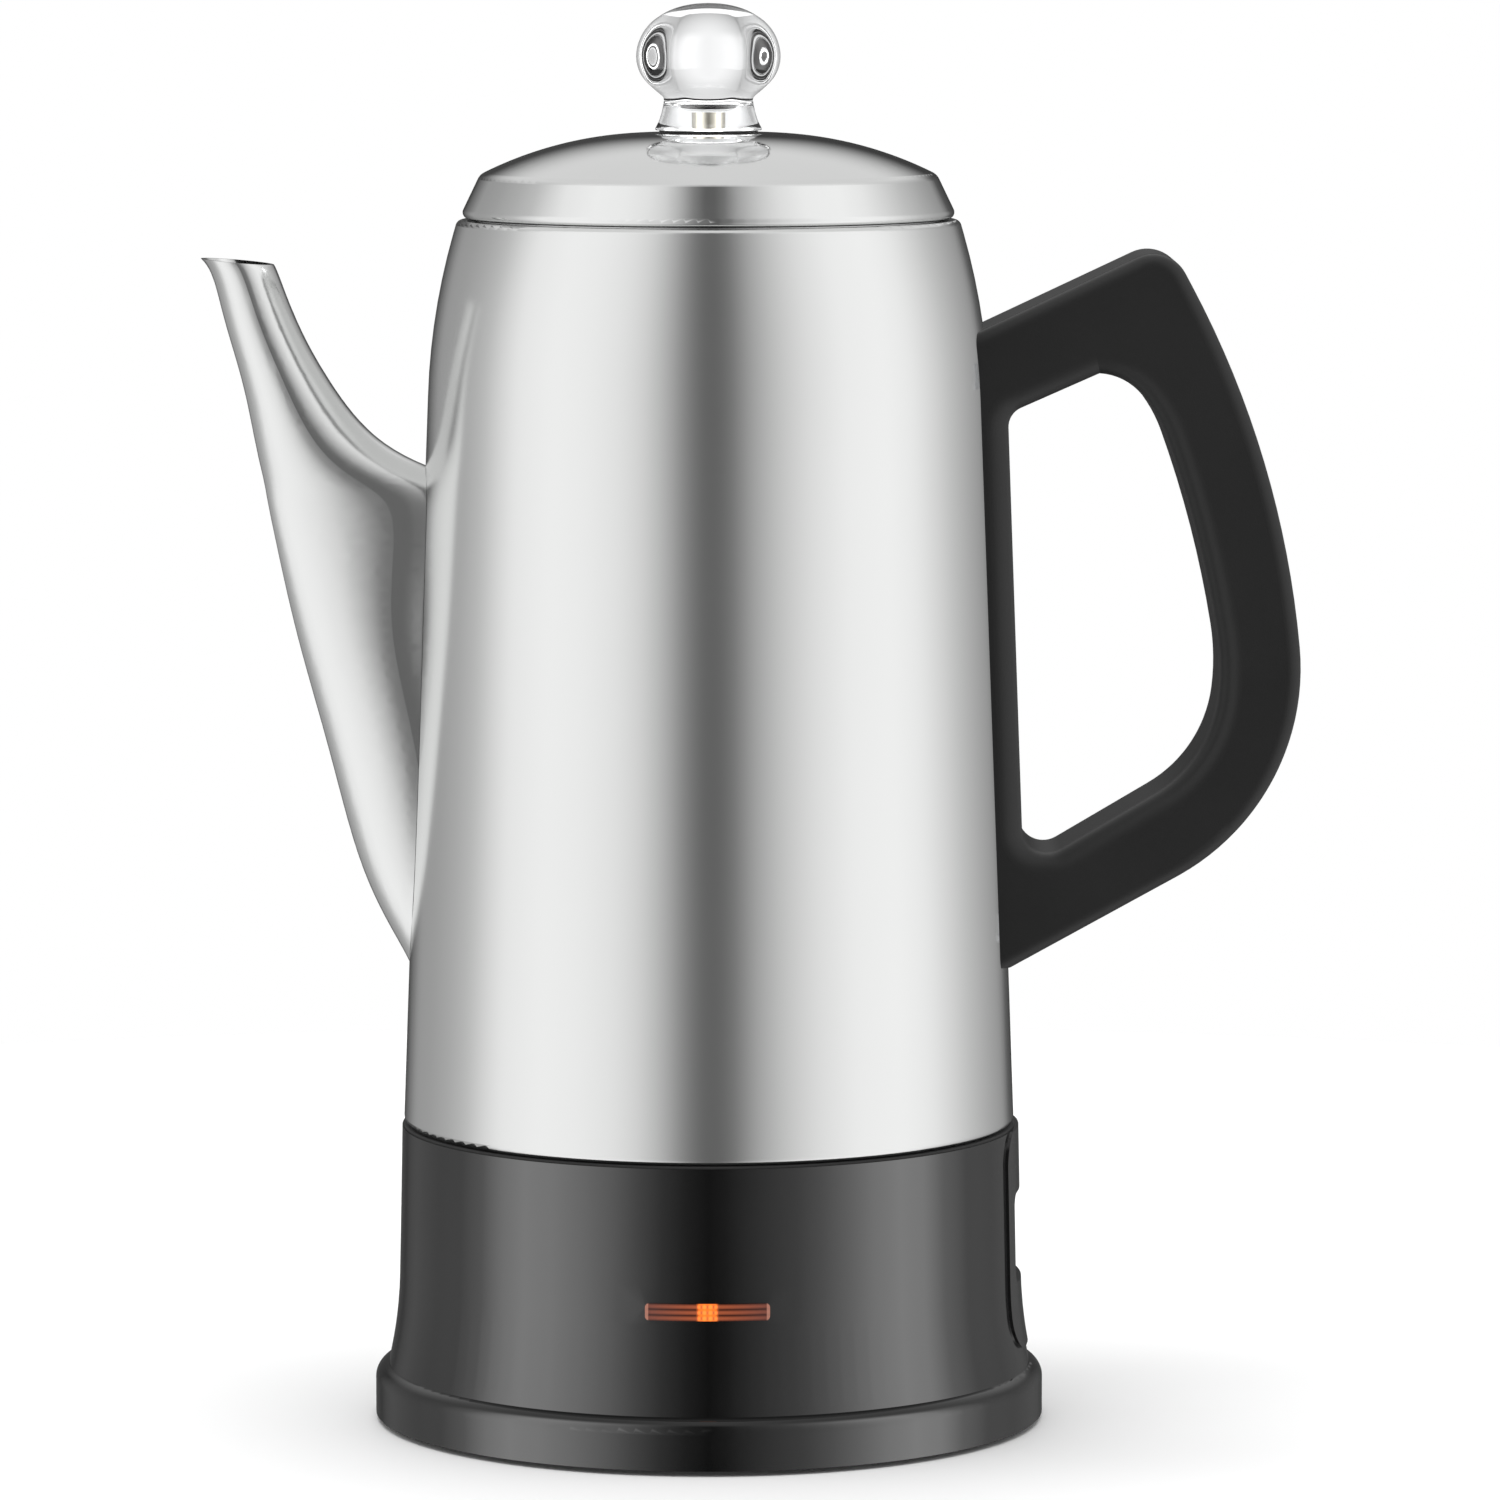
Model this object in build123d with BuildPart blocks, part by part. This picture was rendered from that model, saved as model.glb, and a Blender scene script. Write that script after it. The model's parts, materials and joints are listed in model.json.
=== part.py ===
"""Electric coffee percolator, in millimetres.

Origin: centre of the base on the plane it stands on.  +Z is up, +X points to the handle,
-X to the spout and -Y to the indicator lens.
"""
from build123d import *
from math import cos, radians, sin, tan
import os

# --- Driving dimensions -------------------------------------------------------------------------

# Pot: a tapered cone with a rounded shoulder and a rolled rim
STEEL = 0.8                 # sheet thickness of pot and floor
RIM_TOP = 265.6             # top of the rolled rim
MOUTH_R = 52.0              # free radius of the mouth
NECK_DROP = 4.0             # how far the rim is folded down inside
RIM_IN_R, RIM_OUT_R = 1.3, 1.5
RIM_FLAT = 0.7              # flat width on top of the rim
CONE_ANGLE = 2.1            # wall's slope from the vertical
SHOULDER_ANGLE = 16.1       # slope where the shoulder meets the rim
SHOULDER_R = 148.0
SHOULDER_LEAD = 2.0         # straight length between rim and shoulder
POT_FOOT = 66.0             # where the steel meets the base
SKIRT_R = 64.8              # stepped-in skirt, hidden by the base
SKIRT_FOOT = 54.6
SKIRT_ROUND = 1.6

# Spout: level sections as (height, outer x, inner x, half width, tilt)
SPOUT_WALL = 0.8
SPOUT_SECTIONS = [
    (97.0, -64.5, -45.0, 6.0, 0.0),
    (106.0, -68.7, -44.0, 8.6, 0.0),
    (119.0, -75.2, -44.0, 10.4, 0.0),
    (137.0, -80.9, -44.0, 11.2, 0.0),
    (160.0, -87.0, -46.0, 11.4, 0.0),
    (184.0, -93.1, -46.0, 11.1, 0.0),
    (204.0, -97.2, -44.0, 10.5, 0.0),
    (212.0, -98.8, -63.4, 10.1, 0.0),
    (217.0, -99.9, -71.8, 9.8, 1.0),
    (223.0, -101.1, -77.9, 9.4, 2.0),
    (230.0, -102.7, -82.9, 8.9, 3.0),
    (243.0, -106.4, -90.0, 8.3, 4.5),
    (256.4, -111.5, -95.4, 8.0, 5.0),
]
STRAINER_R, STRAINER_PITCH = 1.6, 6.0
STRAINER_COLUMNS, STRAINER_ROWS, STRAINER_Z = 3, 13, 158.0

# Handle: a closed loop whose plate hugs the pot
HANDLE_W = 34.0
HANDLE_EDGE, HOLE_EDGE = 3.0, 5.0
ARM_POINTS, ARM_CORNER_R = [(54.0, 239.3), (100.4, 261.1), (105.6, 251.4)], 8.0
BACK_ARC, HEEL_ARC = (209.2, -22.7), (52.0, -65.8)      # radius and turn
HANDLE_TOE = (66.4, 102.0)
GAP_ARCH = [(65.5, 223.7), (85.4, 232.5)]               # left end and crown of the sloped ceiling
GRIP_START = -3.0                                       # direction in which the grip's arcs set off
GRIP_ARCS = [(13.0, -47.0), (31.0, -20.0), (240.0, -10.6), (50.0, -16.4), (29.0, -53.0)]
GAP_TOE = (69.2, 123.2)
GAP_ARCH_ROUND, GAP_TOE_ROUND = 4.5, 5.5
COVER_W, COVER_T, COVER_GAP = 25.0, 2.4, 0.35
COVER_SPLIT_X = 107.4       # the top cover ends and the back cover starts and ends at this x
BRACKET_W, BRACKET_H, BRACKET_T, BRACKET_REACH = 14.0, 8.0, 1.6, 16.0
BRACKET_ZS = (235.0, 112.0)
HANDLE_SCREW_X = 71.5
HANDLE_SCREW_HEADS = (229.0, 106.2)
SCREW_WELL = 6.0            # depth below the screw heads of the holes that a driver enters

# Base
BASE_WALL = 2.5
PLATE_FOOT, PLATE_T = 1.2, 2.0          # bottom cover
GASKET_T = 0.5
BASE_TOP_R, FLARE_TOP_R, FLARE_TOP_Z = 68.0, 68.7, 32.0
FLARE_R, FLARE_ANGLE = 91.0, 12.5
FLANGE_R, FLANGE_ROUND = 74.1, 3.3
PLATE_R = 71.2
RUBBER_R, RUBBER_RING, RUBBER_COUNT = 7.0, 56.0, 4
RUBBER_STEM_R, RUBBER_STEM_H = 6.0, 3.0 # the foot's plug through the bottom cover
BOSS_R, BOSS_RING, BOSS_COUNT = 4.2, 63.5, 3
SCREW_R, SCREW_HEAD_R, SCREW_HEAD_T = 1.5, 2.8, 1.4

# Cord inlet on the handle side
INLET_Z, INLET_W, INLET_H, INLET_ROUND = 41.5, 29.0, 20.0, 3.0
INLET_FLOOR, INLET_BACK = 50.0, 46.5    # x of the recess's floor and of the socket's back
SOCKET_WALL = 2.0
SOCKET_R = 65.4                         # radius that the socket's rim follows
PAD_W, PAD_FOOT, PAD_PROUD, PAD_IN_R = 40.0, 17.0, 0.65, 67.2
EAR_Y, EAR_W, EAR_H, EAR_T = 21.0, 9.0, 10.0, 3.0
EAR_SCREW_L = 8.0
PIN_R, PIN_PITCH, PIN_TIP, PIN_TAIL, PIN_TAIL_R = 2.0, 12.7, 66.0, 42.0, 1.6

# Indicator lens on the front
LENS_W, LENS_H, LENS_Z = 26.8, 3.7, 34.7
LENS_R, LENS_BACK = 69.0, 64.5

# Heating
FLOOR_Z = 60.0                          # top of the vessel floor
WELL_R, WELL_FLOOR, WELL_RIM_R = 20.0, 51.0, 26.0
HEATER_R, HEATER_FOOT = 24.0, 38.0
ELEMENT_RING, ELEMENT_R, ELEMENT_ARC = 16.5, 3.3, 310.0
BAND_T, BAND_FOOT, BAND_H = 1.6, 39.0, 10.0
SHIELD_Z, SHIELD_R, SHIELD_T, SHIELD_LIP, SHIELD_TAB_L = 22.0, 58.0, 1.0, 5.0, 15.0
STUD_R, STUD_FOOT = 3.0, 14.0
NUT_R, NUT_T = 5.8, 4.0
THERMOSTAT_R, THERMOSTAT_H, THERMOSTAT_X, THERMOSTAT_Y = 8.0, 7.0, -22.0, 34.0
CLIP_REACH, CLIP_T, CLIP_FOOT_L = 12.0, 1.0, 5.0
FUSE_X, FUSE_Y, FUSE_L, FUSE_R = 10.0, 40.0, 12.0, 2.0
TAB_L, TAB_T, TAB_W = 8.0, 0.8, 6.3
LAMP_Y, LAMP_R, LAMP_L = 60.0, 2.6, 14.0
HOLDER_WALL, HOLDER_END = 1.5, 2.0
COLD_PIN_L = 7.0
WIRE_R, WIRE_BEND = 0.9, 2.4
WIRE_ROUTES = [
    [(34.0, 7.0, 41.5), (30.5, 34.0, 41.5), (-2.0, 48.0, 43.0), (-22.0, 46.0, 50.0)],
    [(34.0, -7.0, 41.5), (28.5, -15.0, 33.0), (10.6, -12.6, 26.0), (10.6, -12.6, 31.0)],
    [(-22.0, 22.0, 51.0), (-23.5, 17.0, 33.0), (-6.0, 8.0, 27.0), (16.5, 0.0, 26.0), (16.5, 0.0, 31.0)],
    [(34.0, -7.6, 43.5), (38.0, -34.0, 36.0), (26.0, -54.0, 34.7), (9.2, -60.0, 34.7)],
]
VENT_RINGS, VENT_SLOT = [(20.0, 8), (34.0, 12)], (10.0, 3.0)

# Pump and brewing basket
TUBE_R, TUBE_WALL, TUBE_FOOT, TUBE_TOP = 4.8, 0.7, 66.0, 271.0
PUMP_FOOT_R, PUMP_FOOT_Z, PUMP_SHOULDER_Z = 18.6, 51.4, 57.0
VALVE_R, VALVE_T, VALVE_Z = 5.5, 0.8, 52.4
VALVE_LAP, GUIDE_POSTS = 1.5, 4          # how far the valve overlaps its seat; posts round it
PUMP_NECK_Z, FOOT_NOTCHES, VALVE_RISE = 66.0, 6, 1.5
STOP_Z, STOP_R, STOP_H = 201.0, 7.5, 4.0
COVER_DEPTH = 3.0                       # how deep the basket cover is dished
BASKET_R, BASKET_H, BASKET_T = 47.5, 44.0, 0.6
SLEEVE_CLEARANCE, COVER_EYE = 0.4, 1.6    # radial play on the pump tube
BASKET_FLANGE, BASKET_BEND = 1.2, 1.0
HOLE_RINGS = [(13.0, 10), (20.0, 16), (27.0, 22), (34.0, 28), (41.0, 34)]
BASKET_HOLE_R = 1.1

# Lid and knob
LID_T = 0.7
LID_APEX_Z, LID_APEX_R = 284.6, 12.0    # flat seat under the knob
LID_DOME_R, LID_DOME_TURN = 84.0, 26.3
LID_KNEE_R, LID_KNEE_TURN, LID_SIDE = 3.0, 38.0, 7.4
LID_HEM_R, LID_HEM_TURN = 1.4, 150.0
LID_COLLAR_R, LID_COLLAR_FOOT, LID_COLLAR_BEND = 51.3, 257.5, 271.0
LID_COLLAR_TOP = (47.6, 275.85)
LID_HOLE_R = 2.2
KNOB_PROFILE = [(9.7, 292.2), (13.0, 295.3), (15.5, 301.3), (13.6, 307.1), (7.4, 311.8)]
KNOB_TOP, KNOB_FOOT_R, KNOB_NECK_Z = 312.9, 11.8, 291.0
KNOB_FLARE, KNOB_FLARE_FALL = (10.4, 289.0), (0.25, -1)
FLUTE_COUNT, FLUTE_R, FLUTE_RING = 6, 7.0, 21.2
INSERT_R, INSERT_TOP = 3.7, 289.0
SEAL_R, SEAL_T = 10.8, 0.5

SLIDE_GAP = 0.3                         # between parts that move past each other
STEP_FOLDER = "parts"
os.makedirs(STEP_FOLDER, exist_ok=True)


def save(name, part):
    """Label a finished piece and write it to its own STEP file."""
    part.label = name
    export_step(part, f"{STEP_FOLDER}/{name}.step")


def ring_points(radius, count, start=0.0):
    """Evenly spaced points on a circle."""
    turns = [radians(start + 360.0 * i / count) for i in range(count)]
    return [(radius * cos(a), radius * sin(a)) for a in turns]


RIM_SLOPE, WALL_SLOPE = radians(SHOULDER_ANGLE), radians(CONE_ANGLE)
CONE_TOP_R = (MOUTH_R + RIM_IN_R + RIM_FLAT + RIM_OUT_R * cos(RIM_SLOPE) + SHOULDER_LEAD * sin(RIM_SLOPE)
              + SHOULDER_R * (cos(WALL_SLOPE) - cos(RIM_SLOPE)))
CONE_TOP_Z = (RIM_TOP - RIM_OUT_R * (1 - sin(RIM_SLOPE)) - SHOULDER_LEAD * cos(RIM_SLOPE)
              - SHOULDER_R * (sin(RIM_SLOPE) - sin(WALL_SLOPE)))


def pot_radius(z):
    """Outer radius of the pot's straight cone at height z."""
    return CONE_TOP_R + (CONE_TOP_Z - z) * tan(WALL_SLOPE)


def base_radius(z):
    """Outer radius of the base above its flare at height z."""
    slope = (FLARE_TOP_R - BASE_TOP_R) / (POT_FOOT - FLARE_TOP_Z)
    return FLARE_TOP_R - (z - FLARE_TOP_Z) * slope


# --- Pot ----------------------------------------------------------------------------------------

with BuildPart() as body_shell:
    with BuildSketch(Plane.XZ):
        with BuildLine():
            neck = Line((MOUTH_R, RIM_TOP - RIM_IN_R - NECK_DROP), (MOUTH_R, RIM_TOP - RIM_IN_R))
            roll_in = JernArc(neck @ 1, neck % 1, RIM_IN_R, -90)
            flat = PolarLine(roll_in @ 1, RIM_FLAT, direction=roll_in % 1)
            roll_out = JernArc(flat @ 1, flat % 1, RIM_OUT_R, SHOULDER_ANGLE - 90)
            lead = PolarLine(roll_out @ 1, SHOULDER_LEAD, direction=roll_out % 1)
            shoulder = JernArc(lead @ 1, lead % 1, SHOULDER_R, CONE_ANGLE - SHOULDER_ANGLE)
            FilletPolyline(
                shoulder @ 1, (pot_radius(POT_FOOT), POT_FOOT), (SKIRT_R, POT_FOOT), (SKIRT_R, SKIRT_FOOT),
                radius=[SKIRT_ROUND, SKIRT_ROUND / 2],
            )
            offset(amount=STEEL, side=Side.RIGHT)
        make_face()
    revolve(axis=Axis.Z)
    with BuildSketch(Plane.YZ):
        with Locations((0, STRAINER_Z)):
            with GridLocations(STRAINER_PITCH, STRAINER_PITCH, STRAINER_COLUMNS, STRAINER_ROWS):
                Circle(STRAINER_R)
    extrude(amount=-FLANGE_R, mode=Mode.SUBTRACT)
save("body_shell", body_shell.part)

# All that lies inside the pot's outer face: trims what is fastened to its outside
with BuildPart() as pot_envelope:
    with BuildSketch(Plane.XZ):
        with BuildLine():
            side = Line((pot_radius(SKIRT_FOOT), SKIRT_FOOT), (CONE_TOP_R, CONE_TOP_Z))
            curve = JernArc(side @ 1, side % 1, SHOULDER_R, SHOULDER_ANGLE - CONE_ANGLE)
            Polyline(curve @ 1, (0, (curve @ 1).Y), (0, SKIRT_FOOT), side @ 0)
        make_face()
    revolve(axis=Axis.Z)

with BuildPart() as vessel_floor:
    with BuildSketch(Plane.XZ):
        with BuildLine():
            FilletPolyline(
                (WELL_R + STEEL + SKIRT_ROUND, FLOOR_Z), (SKIRT_R - STEEL, FLOOR_Z),
                (SKIRT_R - STEEL, SKIRT_FOOT + STEEL),
                radius=[SKIRT_ROUND],
            )
            offset(amount=STEEL, side=Side.RIGHT)
        make_face()
    revolve(axis=Axis.Z)
save("vessel_floor", vessel_floor.part)

with BuildPart() as heating_well:
    with BuildSketch(Plane.XZ):
        with BuildLine():
            FilletPolyline(
                (WELL_RIM_R, FLOOR_Z + STEEL), (WELL_R, FLOOR_Z + STEEL),
                (WELL_R, WELL_FLOOR), (0, WELL_FLOOR),
                radius=[SKIRT_ROUND, SKIRT_ROUND],
            )
            offset(amount=STEEL, side=Side.LEFT)
        make_face()
    revolve(axis=Axis.Z)
save("heating_well", heating_well.part)


def spout_loft(inset):
    """The spout's solid form, drawn in by the wall thickness for its bore."""
    with BuildPart() as form:
        for height, outer, inner, half_width, tilt in SPOUT_SECTIONS:
            centre = (outer + inner) / 2
            plane = Plane(origin=(centre, 0, height), x_dir=(-cos(radians(tilt)), 0, sin(radians(tilt))),
                          z_dir=(sin(radians(tilt)), 0, cos(radians(tilt))))
            with BuildSketch(plane):
                Ellipse((inner - outer) / 2 - inset, half_width - inset)
        loft()
    return form.part


with BuildPart() as spout:
    add(spout_loft(0))
    add(spout_loft(SPOUT_WALL), mode=Mode.SUBTRACT)
    add(pot_envelope.part, mode=Mode.SUBTRACT)
save("spout", spout.part)

# --- Handle -------------------------------------------------------------------------------------

# Outline of the loop, seen from the front; its left side runs inside the pot and is trimmed off
with BuildSketch() as handle_outline:
    with BuildLine():
        arm = FilletPolyline(*ARM_POINTS, radius=[ARM_CORNER_R])
        back = JernArc(arm @ 1, arm % 1, *BACK_ARC)
        heel = JernArc(back @ 1, back % 1, *HEEL_ARC)
        Polyline(heel @ 1, HANDLE_TOE, (ARM_POINTS[0][0], HANDLE_TOE[1]), arm @ 0)
    make_face()

with BuildSketch() as hand_gap:
    with BuildLine():
        end, heading = GAP_ARCH[-1], Vector(cos(radians(GRIP_START)), sin(radians(GRIP_START)))
        for radius, turn in GRIP_ARCS:
            grip_arc = JernArc(end, heading, radius, turn)
            end, heading = grip_arc @ 1, grip_arc % 1
        FilletPolyline(end, GAP_TOE, *GAP_ARCH, radius=[GAP_TOE_ROUND, GAP_ARCH_ROUND])
    make_face()


def cover_band(stand_out, clearance):
    """Side view of the strip that the covers fill, or of its recess with a margin all round."""
    with BuildSketch() as band:
        add(handle_outline.sketch)
        if stand_out:
            offset(handle_outline.sketch, amount=stand_out)
        offset(handle_outline.sketch, amount=-COVER_T, mode=Mode.SUBTRACT)
        with Locations((COVER_SPLIT_X - clearance, sum(BRACKET_ZS) / 2)):
            Rectangle(RIM_TOP, RIM_TOP, align=(Align.MAX, Align.MAX), mode=Mode.SUBTRACT)
        with Locations((CONE_TOP_R - COVER_T, 0)):
            Rectangle(RIM_TOP, 2 * RIM_TOP, align=(Align.MAX, Align.MIN), mode=Mode.SUBTRACT)
    return band.sketch


def handle_slab(sketch, width):
    """A side-view shape given its width across the handle."""
    with BuildPart() as slab:
        with BuildSketch(Plane.XZ.offset(-width / 2)):
            add(sketch)
        extrude(amount=width)
    return slab.part


with BuildPart() as handle_grip:
    add(handle_slab(handle_outline.sketch, HANDLE_W))
    fillet(faces().filter_by(Axis.Y).edges().filter_by(lambda e: e.center().X > CONE_TOP_R), HANDLE_EDGE)
    add(handle_slab(hand_gap.sketch, HANDLE_W), mode=Mode.SUBTRACT)
    rims = ShapeList(e for f in faces().filter_by(Axis.Y) for w in f.inner_wires() for e in w.edges())
    fillet(rims, HOLE_EDGE)
    add(pot_envelope.part, mode=Mode.SUBTRACT)
    recess = cover_band(COVER_T, COVER_GAP)
    add(handle_slab(recess, COVER_W + 2 * COVER_GAP), mode=Mode.SUBTRACT)
    for z, head_z in zip(BRACKET_ZS, HANDLE_SCREW_HEADS):
        with BuildSketch(Plane.YZ.offset(CONE_TOP_R - BRACKET_T)):
            with Locations((0, z)):
                Rectangle(BRACKET_W, BRACKET_H)
        extrude(amount=BRACKET_REACH, mode=Mode.SUBTRACT)
        with BuildSketch(Plane.XY.offset(head_z - SCREW_WELL)):
            with Locations((HANDLE_SCREW_X, 0)):
                Circle(SCREW_HEAD_R + SLIDE_GAP)
        extrude(amount=SCREW_WELL + SCREW_HEAD_T, mode=Mode.SUBTRACT)
        with BuildSketch(Plane.XY.offset(head_z)):
            with Locations((HANDLE_SCREW_X, 0)):
                Circle(SCREW_R)
        extrude(amount=z - head_z, mode=Mode.SUBTRACT)
save("handle_grip", handle_grip.part)


def handle_cover(split_x, side):
    """The length of the cover strip on one side of an upright plane."""
    with BuildPart() as strip:
        add(handle_slab(cover_band(0, 0), COVER_W))
        split(bisect_by=Plane.YZ.offset(split_x), keep=side)
        add(pot_envelope.part, mode=Mode.SUBTRACT)
    return strip.part


save("handle_top_cover", handle_cover(COVER_SPLIT_X - COVER_GAP, Keep.BOTTOM))
save("handle_back_cover", handle_cover(COVER_SPLIT_X, Keep.TOP))


def handle_bracket(z):
    """A steel clip welded to the pot: a top plate and two cheeks inside the handle's pocket."""
    with BuildPart() as bracket:
        with BuildSketch(Plane.YZ.offset(CONE_TOP_R - BRACKET_T)):
            with Locations((0, z)):
                Rectangle(BRACKET_W, BRACKET_H)
                Rectangle(BRACKET_W - 2 * BRACKET_T, BRACKET_H, mode=Mode.SUBTRACT)
            with Locations((0, z - (BRACKET_H - BRACKET_T) / 2)):
                Rectangle(BRACKET_W, BRACKET_T)
        extrude(amount=BRACKET_REACH)
        add(pot_envelope.part, mode=Mode.SUBTRACT)
        with BuildSketch(Plane.XY.offset(z - BRACKET_H / 2)):
            with Locations((HANDLE_SCREW_X, 0)):
                Circle(SCREW_R)
        extrude(amount=BRACKET_T, mode=Mode.SUBTRACT)
    return bracket.part


for name, z in zip(("handle_upper_bracket", "handle_lower_bracket"), BRACKET_ZS):
    save(name, handle_bracket(z))


def pan_head_screw(plane, length):
    """A cross-head screw whose head sits below the plane, with its shank along the normal."""
    with BuildPart() as screw:
        with BuildSketch(plane.offset(-SCREW_HEAD_T)):
            Circle(SCREW_HEAD_R)
        extrude(amount=SCREW_HEAD_T)
        with BuildSketch(plane):
            Circle(SCREW_R)
        extrude(amount=length)
        with BuildSketch(plane.offset(-SCREW_HEAD_T)):
            Rectangle(SCREW_HEAD_R, SCREW_HEAD_T / 3)
            Rectangle(SCREW_HEAD_T / 3, SCREW_HEAD_R)
        extrude(amount=SCREW_HEAD_T / 2, mode=Mode.SUBTRACT)
    return screw.part


with BuildPart() as handle_screws:
    for z, head_z in zip(BRACKET_ZS, HANDLE_SCREW_HEADS):
        screw_plane = Plane(origin=(HANDLE_SCREW_X, 0, head_z + SCREW_HEAD_T))
        add(pan_head_screw(screw_plane, z - head_z - SCREW_HEAD_T))
save("handle_screws", handle_screws.part)

# --- Base ---------------------------------------------------------------------------------------

with BuildPart() as inlet_pad:
    with BuildSketch(Plane.XZ):
        with BuildLine():
            upper = Line((base_radius(POT_FOOT - GASKET_T) + PAD_PROUD, POT_FOOT - GASKET_T),
                         (FLARE_TOP_R + PAD_PROUD, FLARE_TOP_Z))
            lower = JernArc(upper @ 1, upper % 1, FLARE_R, FLARE_ANGLE)
            Polyline(lower @ 1, (PAD_IN_R, (lower @ 1).Y), (PAD_IN_R, POT_FOOT - GASKET_T), upper @ 0)
        make_face()
    revolve(axis=Axis.Z)
    with BuildSketch(Plane.YZ.offset(SHIELD_R)):
        with Locations((0, (PAD_FOOT + POT_FOOT) / 2)):
            RectangleRounded(PAD_W, POT_FOOT - PAD_FOOT, PAD_W / 5)
    extrude(amount=SHIELD_R, mode=Mode.INTERSECT)

with BuildPart() as base_housing:
    with BuildSketch(Plane.XZ):
        with BuildLine():
            wall = Line((base_radius(POT_FOOT - GASKET_T), POT_FOOT - GASKET_T), (FLARE_TOP_R, FLARE_TOP_Z))
            flare = JernArc(wall @ 1, wall % 1, FLARE_R, FLARE_ANGLE)
            ledge = RadiusArc(flare @ 1, (FLANGE_R, (flare @ 1).Y - FLANGE_ROUND), FLANGE_ROUND)
            Line(ledge @ 1, (FLANGE_R, PLATE_FOOT))
            offset(amount=BASE_WALL, side=Side.RIGHT)
        make_face()
    revolve(axis=Axis.Z)
    with BuildSketch(Plane.XY.offset(PLATE_FOOT + PLATE_T)):
        with Locations(*ring_points(BOSS_RING, BOSS_COUNT, start=180)):
            Circle(BOSS_R)
    extrude(amount=SHIELD_Z - PLATE_FOOT - PLATE_T)
    add(inlet_pad.part)
    with BuildSketch(Plane.XY.offset(PLATE_FOOT + PLATE_T)):
        with Locations(*ring_points(BOSS_RING, BOSS_COUNT, start=180)):
            Circle(SCREW_R)
    extrude(amount=SHIELD_Z, mode=Mode.SUBTRACT)
    with BuildSketch(Plane.YZ.offset(SHIELD_R)):
        with Locations((0, INLET_Z)):
            RectangleRounded(INLET_W, INLET_H, INLET_ROUND)
    extrude(amount=SHIELD_R, mode=Mode.SUBTRACT)
    with BuildSketch(Plane.XZ.offset(SHIELD_R)):
        with Locations((0, LENS_Z)):
            RectangleRounded(LENS_W, LENS_H, LENS_H / 4)
    extrude(amount=SHIELD_R, mode=Mode.SUBTRACT)
save("base_housing", base_housing.part)

with BuildPart() as base_gasket:
    with BuildSketch(Plane.XY.offset(POT_FOOT - GASKET_T)):
        Circle(base_radius(POT_FOOT) - SLIDE_GAP)
        Circle(SKIRT_R + SKIRT_ROUND / 2 + SLIDE_GAP, mode=Mode.SUBTRACT)
    extrude(amount=GASKET_T)
save("base_gasket", base_gasket.part)

with BuildPart() as base_cover:
    with BuildSketch(Plane.XY.offset(PLATE_FOOT)):
        Circle(PLATE_R)
        with Locations(*ring_points(RUBBER_RING, RUBBER_COUNT, start=45)):
            Circle(RUBBER_STEM_R, mode=Mode.SUBTRACT)
        with Locations(*ring_points(BOSS_RING, BOSS_COUNT, start=180)):
            Circle(SCREW_R, mode=Mode.SUBTRACT)
        for radius, count in VENT_RINGS:
            with PolarLocations(radius, count):
                SlotOverall(*VENT_SLOT, rotation=90, mode=Mode.SUBTRACT)
    extrude(amount=PLATE_T)
    with BuildSketch(Plane.XY.offset(PLATE_FOOT)):
        with Locations(*ring_points(BOSS_RING, BOSS_COUNT, start=180)):
            Circle(SCREW_HEAD_R + SLIDE_GAP)
    extrude(amount=PLATE_T / 2, mode=Mode.SUBTRACT)
save("base_cover", base_cover.part)

with BuildPart() as base_screws:
    for x, y in ring_points(BOSS_RING, BOSS_COUNT, start=180):
        add(pan_head_screw(Plane(origin=(x, y, PLATE_FOOT + PLATE_T / 2)), SHIELD_Z / 2))
save("base_screws", base_screws.part)

with BuildPart() as rubber_feet:
    with BuildSketch(Plane.XY):
        with Locations(*ring_points(RUBBER_RING, RUBBER_COUNT, start=45)):
            Circle(RUBBER_R)
    extrude(amount=PLATE_FOOT)
    chamfer(edges().filter_by(GeomType.CIRCLE).group_by(Axis.Z)[0], SLIDE_GAP)
    with BuildSketch(Plane.XY.offset(PLATE_FOOT)):
        with Locations(*ring_points(RUBBER_RING, RUBBER_COUNT, start=45)):
            Circle(RUBBER_STEM_R)
    extrude(amount=RUBBER_STEM_H)
save("rubber_feet", rubber_feet.part)

# --- Cord inlet ---------------------------------------------------------------------------------

with BuildPart() as inlet_socket:
    with BuildSketch(Plane.YZ.offset(INLET_BACK)):
        with Locations((0, INLET_Z)):
            RectangleRounded(INLET_W + 2 * SOCKET_WALL, INLET_H + 2 * SOCKET_WALL, INLET_ROUND + SOCKET_WALL)
    extrude(amount=SOCKET_R - INLET_BACK)
    with BuildSketch(Plane.YZ.offset(INLET_FLOOR)):
        with Locations((0, INLET_Z)):
            Rectangle(2 * EAR_Y + EAR_W, EAR_H)
    extrude(amount=EAR_T)
    with BuildSketch(Plane.YZ.offset(INLET_FLOOR)):
        with Locations((0, INLET_Z)):
            RectangleRounded(INLET_W, INLET_H, INLET_ROUND)
    extrude(amount=SHIELD_R, mode=Mode.SUBTRACT)
    with BuildSketch(Plane.YZ.offset(INLET_BACK)):
        with Locations((0, INLET_Z)):
            with GridLocations(PIN_PITCH, 1, 2, 1):
                Circle(PIN_TAIL_R)
            with GridLocations(2 * EAR_Y, 1, 2, 1):
                Circle(SCREW_R)
    extrude(amount=SHIELD_R, mode=Mode.SUBTRACT)
    with BuildSketch(Plane.XY.offset(INLET_Z - INLET_H)):
        Circle(SOCKET_R)
    extrude(amount=2 * INLET_H, mode=Mode.INTERSECT)
save("inlet_socket", inlet_socket.part)

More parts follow.
